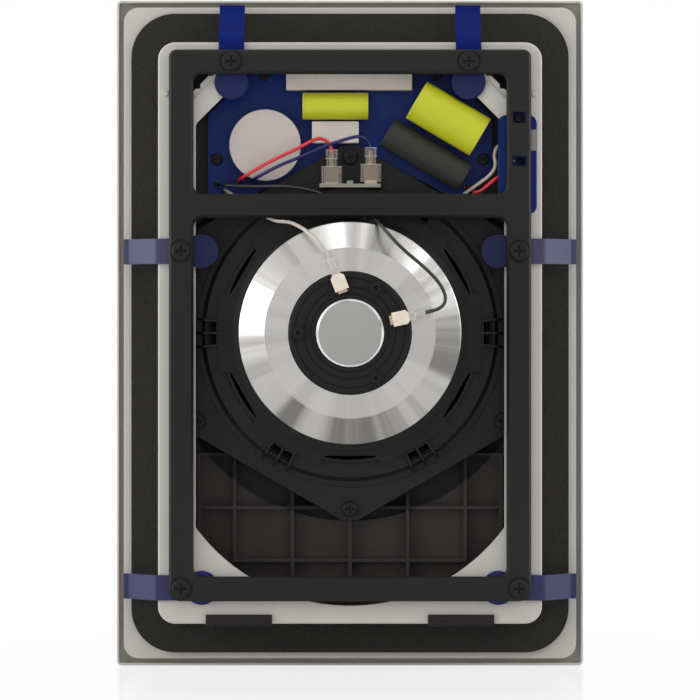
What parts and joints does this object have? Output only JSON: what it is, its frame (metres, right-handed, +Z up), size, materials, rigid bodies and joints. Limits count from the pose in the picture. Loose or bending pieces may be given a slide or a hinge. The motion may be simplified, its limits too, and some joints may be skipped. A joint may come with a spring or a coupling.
{
  "type": "in-wall speaker",
  "caption": "In-wall speaker with a coaxial driver on a moulded tub, clamp frame with wall fingers, crossover board and a folded front grille.",
  "frame": {"origin": "centre of the driver in the plane where the flange meets the wall", "axes": "+Z up, +Y rearward into the wall, +X to the left as seen from behind"},
  "size_m": [0.242, 0.0801, 0.345],
  "materials": {
    "painted_tray": "satin",
    "white_plastic": "fine moulded",
    "black_foam": "open foam",
    "black_plastic": "satin moulded",
    "frame_black": "satin",
    "finger_blue": "satin moulded",
    "screw_black": "black oxide",
    "basket_black": "fine textured paint",
    "plated_steel": "plated",
    "ferrite": "ground",
    "turned_aluminium": "fine turned",
    "cover_black": "turned",
    "silver_steel": "turned",
    "membrane": "coated",
    "copper": "enamelled wire",
    "coil_former": "impregnated",
    "cone_paper": "pressed",
    "surround_rubber": "soft",
    "board_blue": "solder resist",
    "bobbin_pale": "moulded",
    "resistor_white": "rough",
    "film_yellow": "wrapped film",
    "can_black": "sleeved",
    "block_blue": "moulded",
    "insert_pale": "moulded",
    "tinned_brass": "tinned",
    "sleeve_clear": "soft moulded, translucent",
    "connector_cream": "moulded",
    "strip_grey": "laminate",
    "wire_red": "insulation",
    "wire_blue": "insulation",
    "wire_white": "insulation",
    "wire_black": "insulation",
    "pad_black": "foam"
  },
  "bodies": {
    "frame": {"grille": "painted_tray", "grille_magnets": "plated_steel", "bezel": "white_plastic", "wall_gasket": "black_foam", "edge_pads": "pad_black", "clamp_frame": "frame_black", "clamp_screws": "screw_black", "baffle": "black_plastic", "baffle_screws": "screw_black", "driver_gasket": "black_foam", "driver_basket": "basket_black", "driver_screws": "screw_black", "top_plate": "plated_steel", "ferrite_magnet": "ferrite", "pole_yoke": "plated_steel", "rear_cap": "turned_aluminium", "tweeter_cover": "cover_black", "tweeter_cover_screws": "screw_black", "tweeter_pot": "silver_steel", "tweeter_dome": "membrane", "tweeter_horn": "black_plastic", "tweeter_tabs": "tinned_brass", "tweeter_connector_white": "connector_cream", "tweeter_connector_black": "connector_cream", "cone_surround": "surround_rubber", "cone_spider": "membrane", "crossover_board": "board_blue", "board_screws": "screw_black", "inductor_bobbin": "bobbin_pale", "inductor_winding": "copper", "long_resistor": "resistor_white", "short_resistor": "resistor_white", "small_film_capacitor": "film_yellow", "large_film_capacitor": "film_yellow", "black_capacitor": "can_black", "terminal_block": "block_blue", "terminal_inserts": "insert_pale", "terminal_screw": "screw_black", "woofer_terminal_strip": "strip_grey", "woofer_tabs": "tinned_brass", "woofer_sleeve_red": "sleeve_clear", "woofer_sleeve_blue": "sleeve_clear", "woofer_receptacle_red": "tinned_brass", "woofer_receptacle_blue": "tinned_brass", "finger_top_left": "finger_blue", "finger_top_right": "finger_blue", "finger_middle_left": "finger_blue", "finger_middle_right": "finger_blue", "finger_low_left": "finger_blue", "finger_low_right": "finger_blue", "lead_red": "wire_red", "lead_blue": "wire_blue", "lead_white": "wire_white", "lead_black": "wire_black", "input_lead_white": "wire_white", "input_lead_red": "wire_red"},
    "cone": {"woofer_cone": "cone_paper", "voice_coil_former": "coil_former", "voice_coil": "copper"}
  },
  "joints": [
    {"name": "cone_travel", "type": "slide", "parent": "frame", "child": "cone", "axis": [0, 1, 0], "range_m": [-0.004, 0.004], "stiffness_N_per_m": 1000, "deforming": ["cone_surround", "cone_spider"]}
  ]
}
